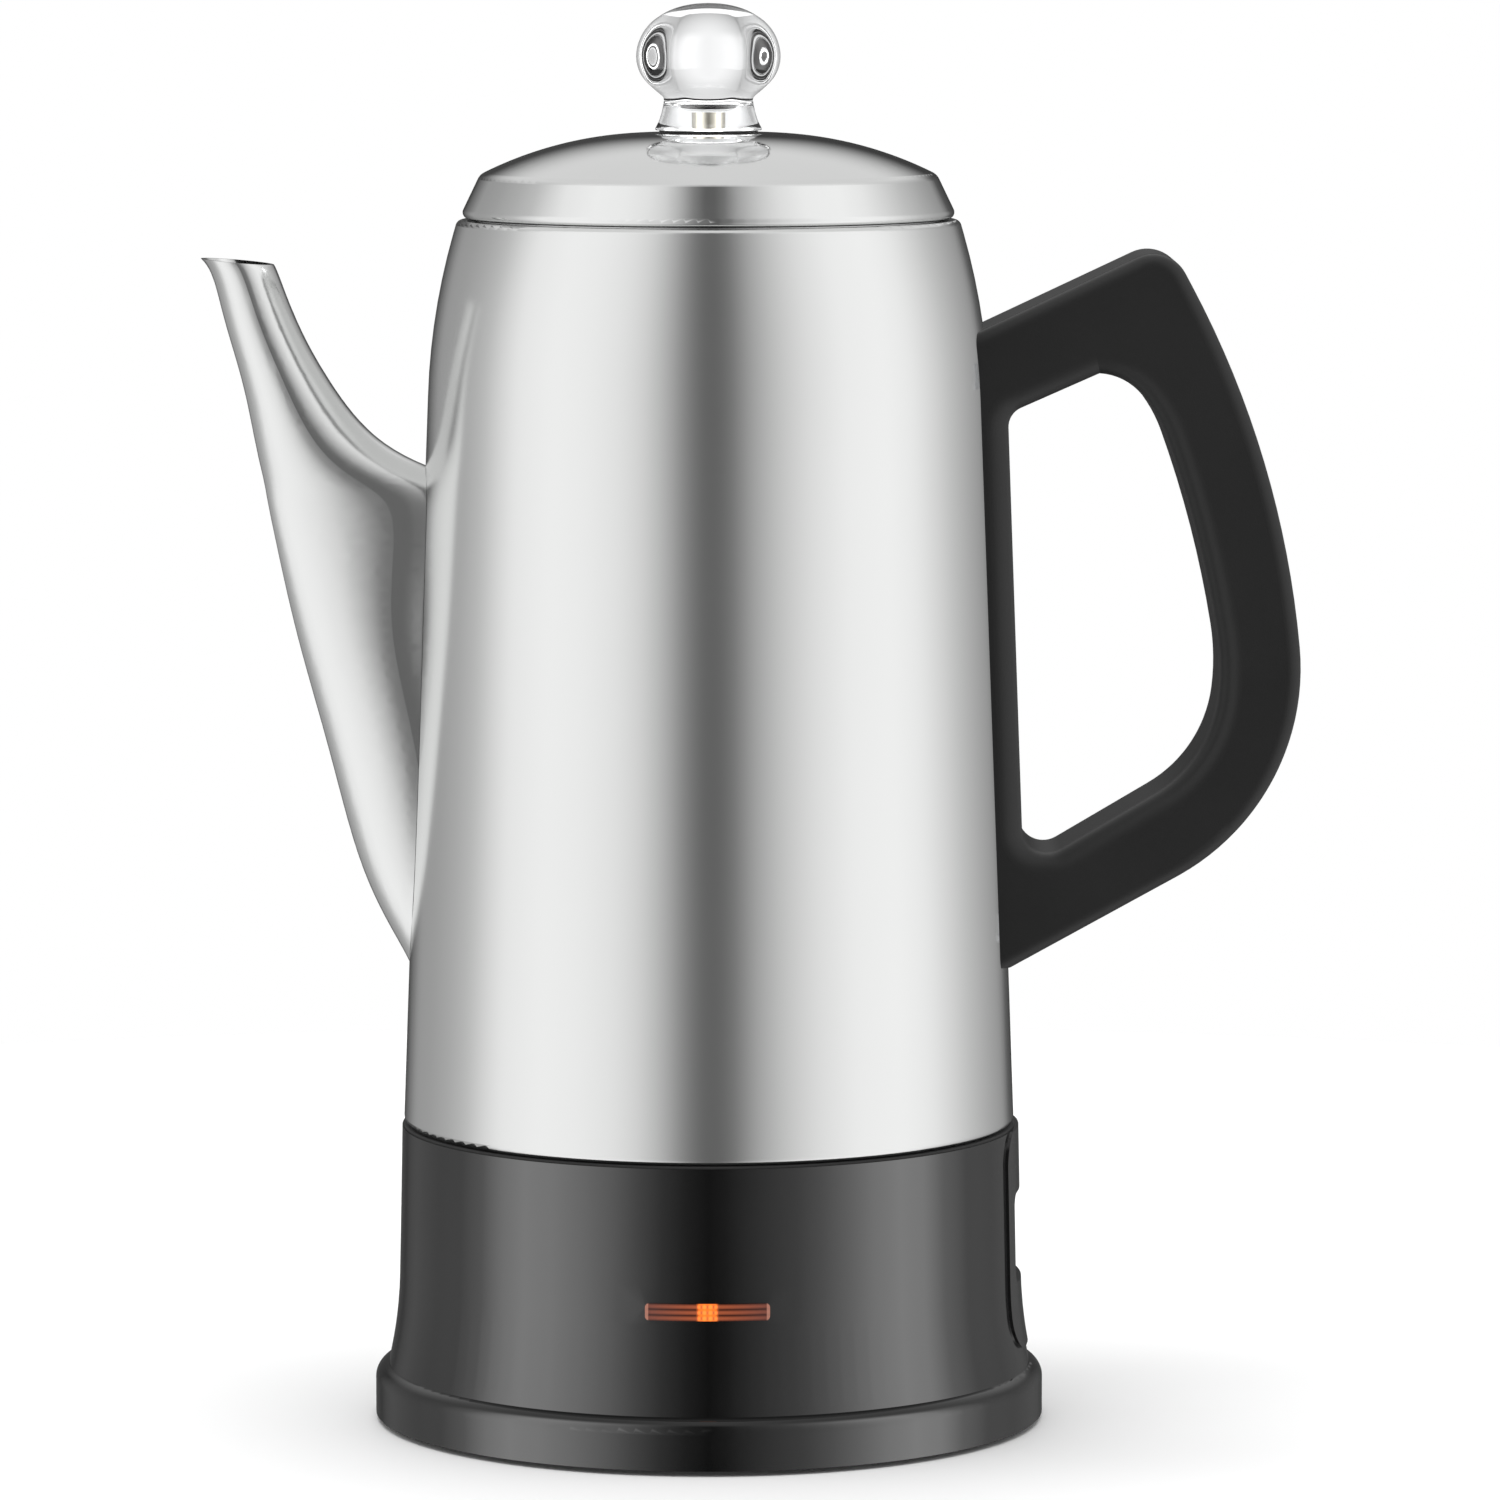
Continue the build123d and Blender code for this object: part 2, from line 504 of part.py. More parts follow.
for name, y in (("inlet_pin_front", -PIN_PITCH / 2), ("inlet_pin_rear", PIN_PITCH / 2)):
    with BuildPart() as inlet_pin:
        with BuildSketch(Plane.YZ.offset(INLET_FLOOR)):
            with Locations((y, INLET_Z)):
                Circle(PIN_R)
        extrude(amount=PIN_TIP - INLET_FLOOR)
        chamfer(edges().group_by(Axis.X)[-1], PIN_R / 4)
        with BuildSketch(Plane.YZ.offset(PIN_TAIL)):
            with Locations((y, INLET_Z)):
                Circle(PIN_TAIL_R)
        extrude(amount=INLET_FLOOR - PIN_TAIL)
    save(name, inlet_pin.part)

with BuildPart() as inlet_screws:
    for y in (-EAR_Y, EAR_Y):
        screw_plane = Plane(origin=(INLET_FLOOR, y, INLET_Z), z_dir=(1, 0, 0))
        add(pan_head_screw(screw_plane, EAR_SCREW_L))
save("inlet_screws", inlet_screws.part)

with BuildPart() as terminal_tabs:
    for y in (-PIN_PITCH / 2, PIN_PITCH / 2):
        with BuildSketch(Plane.YZ.offset(PIN_TAIL - TAB_L)):
            with Locations((y, INLET_Z)):
                Rectangle(TAB_T, TAB_W)
        extrude(amount=TAB_L)
save("terminal_tabs", terminal_tabs.part)

# --- Indicator ----------------------------------------------------------------------------------

with BuildPart() as indicator_lens:
    with BuildSketch(Plane.XZ.offset(LENS_BACK)):
        with Locations((0, LENS_Z)):
            RectangleRounded(LENS_W, LENS_H, LENS_H / 4)
    extrude(amount=SHIELD_R)
    with BuildSketch(Plane.XY.offset(LENS_Z - LENS_H)):
        Circle(LENS_R)
    extrude(amount=2 * LENS_H, mode=Mode.INTERSECT)
save("indicator_lens", indicator_lens.part)

with BuildPart() as indicator_lamp:
    with BuildSketch(Plane.YZ.offset(-LAMP_L / 2)):
        with Locations((-LAMP_Y, LENS_Z)):
            Circle(LAMP_R)
    extrude(amount=LAMP_L)
    fillet(edges().filter_by(GeomType.CIRCLE), LAMP_R / 2)
save("indicator_lamp", indicator_lamp.part)

with BuildPart() as lamp_holder:
    with BuildSketch(Plane.YZ.offset(-LAMP_L / 2 - HOLDER_END)):
        with Locations((-LAMP_Y, LENS_Z)):
            Rectangle(2 * (LAMP_R + HOLDER_WALL), 2 * (LAMP_R + HOLDER_WALL))
            Circle(LAMP_R, mode=Mode.SUBTRACT)
        with Locations((-LAMP_Y - LAMP_R, LENS_Z)):
            Rectangle(2 * LAMP_R, LENS_H, mode=Mode.SUBTRACT)
    extrude(amount=LAMP_L + 2 * HOLDER_END)
save("lamp_holder", lamp_holder.part)

# --- Heating ------------------------------------------------------------------------------------

with BuildPart() as element_form:
    with BuildSketch(Plane.XZ):
        with Locations((ELEMENT_RING, HEATER_FOOT)):
            Circle(ELEMENT_R)
    revolve(axis=Axis.Z, revolution_arc=ELEMENT_ARC)

with BuildPart() as heater_body:
    with BuildSketch(Plane.XY.offset(HEATER_FOOT)):
        Circle(HEATER_R)
        Circle(STUD_R, mode=Mode.SUBTRACT)
    extrude(amount=WELL_FLOOR - STEEL - HEATER_FOOT)
    add(element_form.part, mode=Mode.SUBTRACT)
    with BuildSketch(Plane.XY.offset(HEATER_FOOT)):
        Circle(ELEMENT_RING + ELEMENT_R)
        Circle(ELEMENT_RING - ELEMENT_R, mode=Mode.SUBTRACT)
    extrude(amount=ELEMENT_R / 4, mode=Mode.SUBTRACT)
save("heater_body", heater_body.part)

with BuildPart() as heater_element:
    add(element_form.part)
    for turn in (0, ELEMENT_ARC):
        x, y = ELEMENT_RING * cos(radians(turn)), ELEMENT_RING * sin(radians(turn))
        with BuildSketch(Plane.XY.offset(HEATER_FOOT - COLD_PIN_L)):
            with Locations((x, y)):
                Circle(ELEMENT_R / 2)
        extrude(amount=COLD_PIN_L)
save("heater_element", heater_element.part)

with BuildPart() as keep_warm_band:
    with BuildSketch(Plane.XY.offset(BAND_FOOT)):
        Circle(HEATER_R + BAND_T)
        Circle(HEATER_R, mode=Mode.SUBTRACT)
        with Locations((HEATER_R, 0)):
            Rectangle(HEATER_R / 2, HEATER_R / 4, mode=Mode.SUBTRACT)
    extrude(amount=BAND_H)
save("keep_warm_band", keep_warm_band.part)

with BuildPart() as centre_stud:
    with BuildSketch(Plane.XY.offset(STUD_FOOT)):
        Circle(STUD_R)
    extrude(amount=WELL_FLOOR - STEEL - STUD_FOOT)
save("centre_stud", centre_stud.part)

with BuildPart() as centre_nut:
    with BuildSketch(Plane.XY.offset(SHIELD_Z - NUT_T)):
        RegularPolygon(NUT_R, 6)
        Circle(STUD_R, mode=Mode.SUBTRACT)
    extrude(amount=NUT_T)
save("centre_nut", centre_nut.part)

with BuildPart() as heat_shield:
    with BuildSketch(Plane.XY.offset(SHIELD_Z)):
        Circle(SHIELD_R)
        with PolarLocations(SHIELD_R, BOSS_COUNT, start_angle=180):
            Rectangle(SHIELD_TAB_L, 2 * BOSS_R)
        Circle(STUD_R, mode=Mode.SUBTRACT)
        with Locations(*ring_points(BOSS_RING, BOSS_COUNT, start=180)):
            Circle(SCREW_R, mode=Mode.SUBTRACT)
    extrude(amount=SHIELD_T)
    with BuildSketch(Plane.XY.offset(SHIELD_Z + SHIELD_T)):
        Circle(SHIELD_R)
        Circle(SHIELD_R - SHIELD_T, mode=Mode.SUBTRACT)
        with Locations(*ring_points(BOSS_RING, BOSS_COUNT, start=180)):
            Circle(2 * BOSS_R, mode=Mode.SUBTRACT)
    extrude(amount=SHIELD_LIP)
save("heat_shield", heat_shield.part)

with BuildPart() as heat_shield_screws:
    for x, y in ring_points(BOSS_RING, BOSS_COUNT, start=180):
        screw_plane = Plane(origin=(x, y, SHIELD_Z + SHIELD_T), x_dir=(1, 0, 0), z_dir=(0, 0, -1))
        add(pan_head_screw(screw_plane, SHIELD_LIP))
save("heat_shield_screws", heat_shield_screws.part)

THERMOSTAT_TOP = FLOOR_Z - STEEL
with BuildPart() as thermostat:
    with BuildSketch(Plane.XY.offset(THERMOSTAT_TOP - THERMOSTAT_H)):
        with Locations((THERMOSTAT_X, THERMOSTAT_Y)):
            Circle(THERMOSTAT_R)
            Rectangle(TAB_W, 3 * THERMOSTAT_R)
    extrude(amount=THERMOSTAT_H / 2)
    with BuildSketch(Plane.XY.offset(THERMOSTAT_TOP - THERMOSTAT_H / 2)):
        with Locations((THERMOSTAT_X, THERMOSTAT_Y)):
            Circle(THERMOSTAT_R)
    extrude(amount=THERMOSTAT_H / 2)
save("thermostat", thermostat.part)

CLIP_TOP = THERMOSTAT_TOP - THERMOSTAT_H
CLIP_LEFT, CLIP_RIGHT = THERMOSTAT_X - CLIP_REACH, THERMOSTAT_X + CLIP_REACH
with BuildPart() as thermostat_clip:
    with BuildSketch(Plane.XZ.offset(-THERMOSTAT_Y - TAB_W / 2)):
        with BuildLine():
            FilletPolyline(
                (CLIP_LEFT - CLIP_FOOT_L, THERMOSTAT_TOP), (CLIP_LEFT, THERMOSTAT_TOP),
                (CLIP_LEFT, CLIP_TOP), (CLIP_RIGHT, CLIP_TOP),
                (CLIP_RIGHT, THERMOSTAT_TOP), (CLIP_RIGHT + CLIP_FOOT_L, THERMOSTAT_TOP),
                radius=[CLIP_T * 2] * 4,
            )
            offset(amount=CLIP_T, side=Side.RIGHT)
        make_face()
    extrude(amount=TAB_W)
save("thermostat_clip", thermostat_clip.part)

with BuildPart() as thermal_fuse:
    with BuildSketch(Plane.YZ.offset(-FUSE_L / 2 + FUSE_X)):
        with Locations((FUSE_Y, THERMOSTAT_TOP - FUSE_R)):
            Circle(FUSE_R)
    extrude(amount=FUSE_L)
    with BuildSketch(Plane.YZ.offset(-FUSE_L + FUSE_X)):
        with Locations((FUSE_Y, THERMOSTAT_TOP - FUSE_R)):
            Circle(FUSE_R / 4)
    extrude(amount=2 * FUSE_L)
save("thermal_fuse", thermal_fuse.part)


def lead_wire(points, bend):
    """A round insulated wire along straight runs joined by arcs."""
    with BuildPart() as wire:
        with BuildLine() as route:
            FilletPolyline(*points, radius=bend)
        with BuildSketch(Plane(origin=route.line @ 0, z_dir=route.line % 0)):
            Circle(WIRE_R)
        sweep()
    return wire.part


with BuildPart() as wiring:
    for points in WIRE_ROUTES:
        add(lead_wire(points, WIRE_BEND))
save("wiring", wiring.part)

# --- Pump ---------------------------------------------------------------------------------------

with BuildPart() as pump_tube:
    with BuildSketch(Plane.XY.offset(TUBE_FOOT)):
        Circle(TUBE_R)
        Circle(TUBE_R - TUBE_WALL, mode=Mode.SUBTRACT)
    extrude(amount=TUBE_TOP - TUBE_FOOT)
save("pump_tube", pump_tube.part)

with BuildPart() as pump_foot:
    with BuildSketch(Plane.XZ):
        with BuildLine():
            FilletPolyline(
                (PUMP_FOOT_R, PUMP_FOOT_Z), (PUMP_FOOT_R, PUMP_SHOULDER_Z), (TUBE_R + STEEL, PUMP_NECK_Z),
                (TUBE_R + STEEL, PUMP_NECK_Z + STOP_H * 2),
                radius=[STOP_H, STOP_H],
            )
            offset(amount=STEEL, side=Side.LEFT)
        make_face()
    revolve(axis=Axis.Z)
    with BuildSketch(Plane.XY.offset(PUMP_FOOT_Z)):
        with PolarLocations(PUMP_FOOT_R, FOOT_NOTCHES):
            Circle(STOP_H / 2)
    extrude(amount=STOP_H / 2, mode=Mode.SUBTRACT)
save("pump_foot", pump_foot.part)

with BuildPart() as valve_seat:
    with BuildSketch(Plane.XY.offset(VALVE_Z - STEEL)):
        Circle(PUMP_FOOT_R - STEEL)
        Circle(VALVE_R - VALVE_LAP, mode=Mode.SUBTRACT)
    extrude(amount=STEEL)
    with BuildSketch(Plane.XY.offset(VALVE_Z)):
        with PolarLocations(VALVE_R + 2 * SLIDE_GAP + STEEL, GUIDE_POSTS):
            Circle(STEEL)
    extrude(amount=VALVE_RISE + 2 * VALVE_T)
save("valve_seat", valve_seat.part)

with BuildPart() as pump_valve:
    with BuildSketch(Plane.XY.offset(VALVE_Z)):
        Circle(VALVE_R)
    extrude(amount=VALVE_T)
save("pump_valve", pump_valve.part)

with BuildPart() as basket_stop:
    with BuildSketch(Plane.XY.offset(STOP_Z - STOP_H)):
        Circle(STOP_R)
        Circle(TUBE_R, mode=Mode.SUBTRACT)
    extrude(amount=STOP_H)
    chamfer(edges().group_by(Axis.Z)[0].sort_by(SortBy.LENGTH)[-1], STOP_R - TUBE_R - STEEL)
save("basket_stop", basket_stop.part)

# --- Brewing basket -----------------------------------------------------------------------------

BASKET_FOOT = STOP_Z
BASKET_TOP = BASKET_FOOT + BASKET_H
SLEEVE_R = TUBE_R + SLEEVE_CLEARANCE

with BuildPart() as basket_sleeve:
    with BuildSketch(Plane.XY.offset(BASKET_FOOT)):
        Circle(SLEEVE_R + BASKET_T)
        Circle(SLEEVE_R, mode=Mode.SUBTRACT)
    extrude(amount=BASKET_H)
save("basket_sleeve", basket_sleeve.part)

with BuildPart() as basket:
    with BuildSketch(Plane.XZ):
        with BuildLine():
            FilletPolyline(
                (SLEEVE_R + BASKET_T, BASKET_FOOT), (BASKET_R, BASKET_FOOT), (BASKET_R, BASKET_TOP),
                (BASKET_R + BASKET_FLANGE, BASKET_TOP),
                radius=[4 * BASKET_BEND, BASKET_BEND],
            )
            offset(amount=BASKET_T, side=Side.LEFT)
        make_face()
    revolve(axis=Axis.Z)
    with BuildSketch(Plane.XY.offset(BASKET_FOOT)):
        for radius, count in HOLE_RINGS:
            with PolarLocations(radius, count):
                Circle(BASKET_HOLE_R)
    extrude(amount=BASKET_T, mode=Mode.SUBTRACT)
save("basket", basket.part)

COVER_FLANGE_Z = BASKET_TOP + BASKET_T + SLIDE_GAP
COVER_FOOT = COVER_FLANGE_Z - COVER_DEPTH

with BuildPart() as basket_cover:
    with BuildSketch(Plane.XZ):
        with BuildLine():
            FilletPolyline(
                (SLEEVE_R + COVER_EYE, COVER_FLANGE_Z), (SLEEVE_R + COVER_EYE + COVER_DEPTH, COVER_FOOT),
                (BASKET_R - COVER_DEPTH, COVER_FOOT), (BASKET_R - COVER_DEPTH / 2, COVER_FLANGE_Z),
                (BASKET_R + BASKET_FLANGE, COVER_FLANGE_Z),
                radius=[BASKET_BEND] * 3,
            )
            offset(amount=BASKET_T, side=Side.LEFT)
        make_face()
    revolve(axis=Axis.Z)
    with BuildSketch(Plane.XY.offset(COVER_FOOT)):
        for radius, count in HOLE_RINGS[:-1]:
            with PolarLocations(radius, count):
                Circle(BASKET_HOLE_R)
    extrude(amount=BASKET_T, mode=Mode.SUBTRACT)
save("basket_cover", basket_cover.part)

# --- Lid ----------------------------------------------------------------------------------------

with BuildPart() as lid_shell:
    with BuildSketch(Plane.XZ):
        with BuildLine():
            seat = Line((LID_HOLE_R, LID_APEX_Z), (LID_APEX_R, LID_APEX_Z))
            dome = JernArc(seat @ 1, seat % 1, LID_DOME_R, -LID_DOME_TURN)
            knee = JernArc(dome @ 1, dome % 1, LID_KNEE_R, -LID_KNEE_TURN)
            slope = PolarLine(knee @ 1, LID_SIDE, direction=knee % 1)
            JernArc(slope @ 1, slope % 1, LID_HEM_R, -LID_HEM_TURN)
            offset(amount=LID_T, side=Side.RIGHT)
        make_face()
    revolve(axis=Axis.Z)
save("lid_shell", lid_shell.part)

with BuildPart() as lid_collar:
    with BuildSketch(Plane.XZ):
        with BuildLine():
            FilletPolyline(
                (LID_COLLAR_R, LID_COLLAR_FOOT), (LID_COLLAR_R, LID_COLLAR_BEND), LID_COLLAR_TOP,
                radius=[LID_KNEE_R],
            )
            offset(amount=LID_T, side=Side.LEFT)
        make_face()
    revolve(axis=Axis.Z)
save("lid_collar", lid_collar.part)

with BuildPart() as knob:
    with BuildSketch(Plane.XZ):
        with BuildLine():
            crown = Spline((0, KNOB_TOP), *reversed(KNOB_PROFILE), tangents=((1, 0), KNOB_FLARE_FALL))
            flare_out = Spline(crown @ 1, KNOB_FLARE, (KNOB_FOOT_R, LID_APEX_Z + SEAL_T),
                               tangents=(crown % 1, KNOB_FLARE_FALL))
            Polyline(flare_out @ 1, (0, LID_APEX_Z + SEAL_T), crown @ 0)
        make_face()
    revolve(axis=Axis.Z)
    with BuildSketch(Plane.XY.offset(KNOB_NECK_Z)):
        with PolarLocations(FLUTE_RING, FLUTE_COUNT):
            Circle(FLUTE_R)
    extrude(amount=KNOB_TOP, mode=Mode.SUBTRACT)
    with BuildSketch(Plane.XY.offset(LID_APEX_Z)):
        Circle(INSERT_R)
    extrude(amount=INSERT_TOP - LID_APEX_Z, mode=Mode.SUBTRACT)
save("knob", knob.part)

with BuildPart() as knob_insert:
    with BuildSketch(Plane.XY.offset(LID_APEX_Z + SEAL_T)):
        Circle(INSERT_R)
        Circle(SCREW_R, mode=Mode.SUBTRACT)
    extrude(amount=INSERT_TOP - LID_APEX_Z - SEAL_T)
save("knob_insert", knob_insert.part)

with BuildPart() as knob_seal:
    with BuildSketch(Plane.XY.offset(LID_APEX_Z)):
        Circle(SEAL_R)
        Circle(LID_HOLE_R, mode=Mode.SUBTRACT)
    extrude(amount=SEAL_T)
save("knob_seal", knob_seal.part)

with BuildPart() as knob_screw:
    add(pan_head_screw(Plane.XY.offset(LID_APEX_Z - LID_T), INSERT_TOP - LID_APEX_Z))
save("knob_screw", knob_screw.part)
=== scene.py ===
"""Electric coffee percolator: materials, finer pieces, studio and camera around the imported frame."""
import json
from math import atan2, degrees, hypot, pi, radians, sin

import bpy
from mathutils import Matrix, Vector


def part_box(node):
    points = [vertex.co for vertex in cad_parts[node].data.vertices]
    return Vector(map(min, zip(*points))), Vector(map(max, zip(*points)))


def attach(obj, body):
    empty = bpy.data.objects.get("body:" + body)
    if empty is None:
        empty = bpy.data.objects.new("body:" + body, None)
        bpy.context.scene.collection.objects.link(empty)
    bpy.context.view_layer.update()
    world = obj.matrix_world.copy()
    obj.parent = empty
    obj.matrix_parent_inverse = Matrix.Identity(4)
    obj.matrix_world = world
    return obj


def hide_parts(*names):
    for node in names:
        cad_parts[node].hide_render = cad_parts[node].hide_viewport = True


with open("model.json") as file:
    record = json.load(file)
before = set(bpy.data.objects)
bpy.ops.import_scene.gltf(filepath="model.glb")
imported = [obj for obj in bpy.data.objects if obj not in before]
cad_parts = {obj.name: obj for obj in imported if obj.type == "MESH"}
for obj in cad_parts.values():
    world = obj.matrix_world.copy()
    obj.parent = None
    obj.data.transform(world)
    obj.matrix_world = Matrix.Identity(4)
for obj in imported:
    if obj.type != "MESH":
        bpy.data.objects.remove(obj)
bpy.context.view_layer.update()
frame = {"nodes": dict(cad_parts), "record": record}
NODES = frame["nodes"]

MM = 0.001

# --- Camera and studio --------------------------------------------------------------------------

CAMERA_DISTANCE, CAMERA_HEIGHT, CAMERA_SIDE = 1.778, 0.3354, 0.0091
CAMERA_PITCH, LENS, SENSOR = 6.0, 194.2, 36.0
FLOOR_RADIUS, FLOOR_WHITE, FLOOR_ROUGHNESS = 0.62, (0.93, 0.93, 0.93, 1), 0.6
LIGHT_HEIGHT, LIGHT_WIDTH, LIGHT_WATTS = 1.6, 1.8, 22
WHITE = (1.0, 1.0, 1.0, 1.0)
BLACK = (0.0, 0.0, 0.0, 1.0)

# Brightness of the studio around the object: (degrees from the front, brightness)
STUDIO_RING = [
    (-180, 0.06), (-168, 0.06), (-156, 0.20), (-146, 0.36), (-130, 0.40), (-116, 0.48),
    (-104, 0.60), (-95, 0.80), (-85, 1.00), (-66, 1.08), (-50, 1.04), (-36, 0.95), (-26, 0.80),
    (-17, 0.54), (-9, 0.26), (-2, 0.13), (4, 0.13), (10, 0.20), (19, 0.46), (30, 0.70), (42, 0.90),
    (58, 1.06), (78, 1.10), (92, 1.02), (104, 0.84), (118, 0.62), (133, 0.46), (148, 0.34),
    (158, 0.10), (170, 0.05),
]
# The same for mirror-sharp surfaces, which see the lamps inside the softboxes
LAMP_RING = [
    (-180, 0.10), (-156, 0.10), (-140, 0.35), (-120, 0.50), (-105, 0.75), (-93, 1.45), (-82, 3.1),
    (-72, 4.1), (-60, 4.0), (-47, 3.2), (-36, 2.3), (-26, 1.3), (-17, 0.62), (-8, 0.24), (0, 0.07),
    (6, 0.16), (13, 0.40), (22, 0.70), (33, 1.05), (43, 1.7), (53, 2.6), (64, 3.7), (76, 4.2),
    (87, 3.5), (98, 1.7), (112, 0.75), (130, 0.42), (150, 0.25), (165, 0.10),
]
LAMP_PEAK = max(brightness for _, brightness in LAMP_RING)
# The white overhead, which comes lower behind the object than in front: height plus lean times depth
OVERHEAD, OVERHEAD_LEAN, OVERHEAD_START, OVERHEAD_FULL = 0.78, 0.35, 0.52, 0.84
# Seen through clear plastic, the backdrop fades from white straight behind to the studio's own grey
BACKDROP_FADE, BACKDROP_FULL, BACKDROP_HAZE = 0.86, 0.985, 0.30


def add_camera():
    """A long lens in front, tipped a little down."""
    bpy.ops.object.camera_add(
        location=(CAMERA_SIDE, -CAMERA_DISTANCE, CAMERA_HEIGHT),
        rotation=(radians(90 - CAMERA_PITCH), 0, 0))
    camera = bpy.context.object
    camera.data.lens = LENS
    camera.data.sensor_width = SENSOR
    camera.data.clip_end = 20
    bpy.context.scene.camera = camera


def math_node(nodes, links, operation, *values):
    """A Math node fed from numbers and sockets, returned as its output socket."""
    node = nodes.new("ShaderNodeMath")
    node.operation = operation
    for socket, value in zip(node.inputs, values):
        if isinstance(value, (int, float)):
            socket.default_value = value
        else:
            links.new(value, socket)
    return node.outputs[0]


def mix_colours(nodes, links, factor, first, second):
    """A colour mix whose three inputs are sockets or constants, returned as its output socket."""
    node = nodes.new("ShaderNodeMix")
    node.data_type = "RGBA"
    for index, value in ((0, factor), (6, first), (7, second)):
        if isinstance(value, (float, tuple)):
            node.inputs[index].default_value = value
        else:
            links.new(value, node.inputs[index])
    return node.outputs[2]


def fill_ramp(ramp, stops):
    """Sets a colour ramp's stops from (position, grey) pairs."""
    elements = ramp.color_ramp.elements
    while len(elements) > 1:
        elements.remove(elements[-1])
    for index, (position, grey) in enumerate(stops):
        element = elements[0] if index == 0 else elements.new(position)
        element.position = position
        element.color = (grey, grey, grey, 1)


def build_studio_world():
    """Softboxes left and right, dark at the camera and behind, a white overhead and a white backdrop."""
    world = bpy.data.worlds.new("studio")
    bpy.context.scene.world = world
    world.use_nodes = True
    nodes, links = world.node_tree.nodes, world.node_tree.links
    nodes.clear()
    direction = nodes.new("ShaderNodeTexCoord").outputs["Generated"]
    split = nodes.new("ShaderNodeSeparateXYZ")
    links.new(direction, split.inputs[0])
    x, y, z = split.outputs
    turn = math_node(nodes, links, "ARCTAN2", x, math_node(nodes, links, "MULTIPLY", y, -1.0))
    place = math_node(nodes, links, "MULTIPLY_ADD", turn, 1 / (2 * pi), 0.5)
    rings = []
    for stops, scale in ((STUDIO_RING, 1.0), (LAMP_RING, LAMP_PEAK)):
        ring = nodes.new("ShaderNodeValToRGB")
        links.new(place, ring.inputs[0])
        fill_ramp(ring, [((angle + 180) / 360, value / scale) for angle, value in stops])
        rings.append(math_node(nodes, links, "MULTIPLY", ring.outputs[0], scale))
    path = nodes.new("ShaderNodeLightPath").outputs
    around = nodes.new("ShaderNodeMix")
    links.new(path["Is Singular Ray"], around.inputs[0])
    links.new(rings[0], around.inputs[2])
    links.new(rings[1], around.inputs[3])
    rise = nodes.new("ShaderNodeMapRange")
    rise.interpolation_type = "SMOOTHSTEP"
    rise.inputs["From Min"].default_value = OVERHEAD_START
    rise.inputs["From Max"].default_value = OVERHEAD_FULL
    leaning = math_node(nodes, links, "MULTIPLY", y, OVERHEAD_LEAN)
    links.new(math_node(nodes, links, "ADD", z, leaning), rise.inputs["Value"])
    sky = mix_colours(nodes, links, rise.outputs[0], around.outputs[0], (OVERHEAD, OVERHEAD, OVERHEAD, 1))
    studio = nodes.new("ShaderNodeBackground")
    links.new(sky, studio.inputs["Color"])
    backdrop = nodes.new("ShaderNodeBackground")
    backdrop.inputs["Color"].default_value = WHITE
    behind = nodes.new("ShaderNodeMapRange")
    behind.inputs["From Min"].default_value = BACKDROP_FADE
    behind.inputs["From Max"].default_value = BACKDROP_FULL
    behind.inputs["To Min"].default_value = BACKDROP_HAZE
    links.new(y, behind.inputs["Value"])
    through = math_node(nodes, links, "MULTIPLY", path["Is Transmission Ray"], behind.outputs[0])
    choose = nodes.new("ShaderNodeMixShader")
    links.new(math_node(nodes, links, "MAXIMUM", path["Is Camera Ray"], through), choose.inputs[0])
    links.new(studio.outputs[0], choose.inputs[1])
    links.new(backdrop.outputs[0], choose.inputs[2])
    output = nodes.new("ShaderNodeOutputWorld")
    links.new(choose.outputs[0], output.inputs["Surface"])


def add_floor():
    """A pale round floor that catches the shadow and stays out of mirror rays."""
    bpy.ops.mesh.primitive_circle_add(vertices=96, radius=FLOOR_RADIUS, fill_type="NGON", location=(0, 0, 0))
    floor = bpy.context.object
    floor.name = "floor"
    material = bpy.data.materials.new("floor_white")
    material.use_nodes = True
    principled = material.node_tree.nodes["Principled BSDF"]
    principled.inputs["Base Color"].default_value = FLOOR_WHITE
    principled.inputs["Roughness"].default_value = FLOOR_ROUGHNESS
    floor.data.materials.append(material)
    floor.visible_glossy = False


def add_overhead_light():
    """One large soft light above."""
    bpy.ops.object.light_add(type="AREA", location=(0, 0, LIGHT_HEIGHT))
    light = bpy.context.object
    light.data.shape = "DISK"
    light.data.size = LIGHT_WIDTH
    light.data.energy = LIGHT_WATTS
    light.visible_glossy = False


add_camera()
build_studio_world()
add_floor()
add_overhead_light()
bpy.context.scene.view_settings.view_transform = "Standard"

# --- Materials ----------------------------------------------------------------------------------

# Marks that run round an upright wall, and the wider haze between them
MARK_SCALE, MARK_STRETCH, HAZE_SCALE = 60, 60, 18
GRAIN_SCALE = 900
SPECK_SCALE, SPECK_OUTER, SPECK_INNER, SPECK_GREY = 160, 0.055, 0.03, 0.25
PATCH_SCALE, PATCH_CUT = 25, 0.56
WAVE_SCALE, WAVE_SHADE, WAVE_ROUGHNESS, PLAIN_ROUGHNESS = 30, 0.006, 0.12, 0.34
CLOUD_SCALE, UNEVEN_SCALE, UNEVEN_DEPTH, UNEVEN_TINT = 14, 160, 0.00001, 0.03


def node_group(name, inputs, outputs):
    """An empty shader group with float inputs and the given outputs, returned with its ends."""
    group = bpy.data.node_groups.new(name, "ShaderNodeTree")
    for socket, default in inputs:
        made = group.interface.new_socket(socket, in_out="INPUT", socket_type="NodeSocketFloat")
        made.default_value = default
    for socket, kind in outputs:
        group.interface.new_socket(socket, in_out="OUTPUT", socket_type=kind)
    start, end = group.nodes.new("NodeGroupInput"), group.nodes.new("NodeGroupOutput")
    return group, start, end


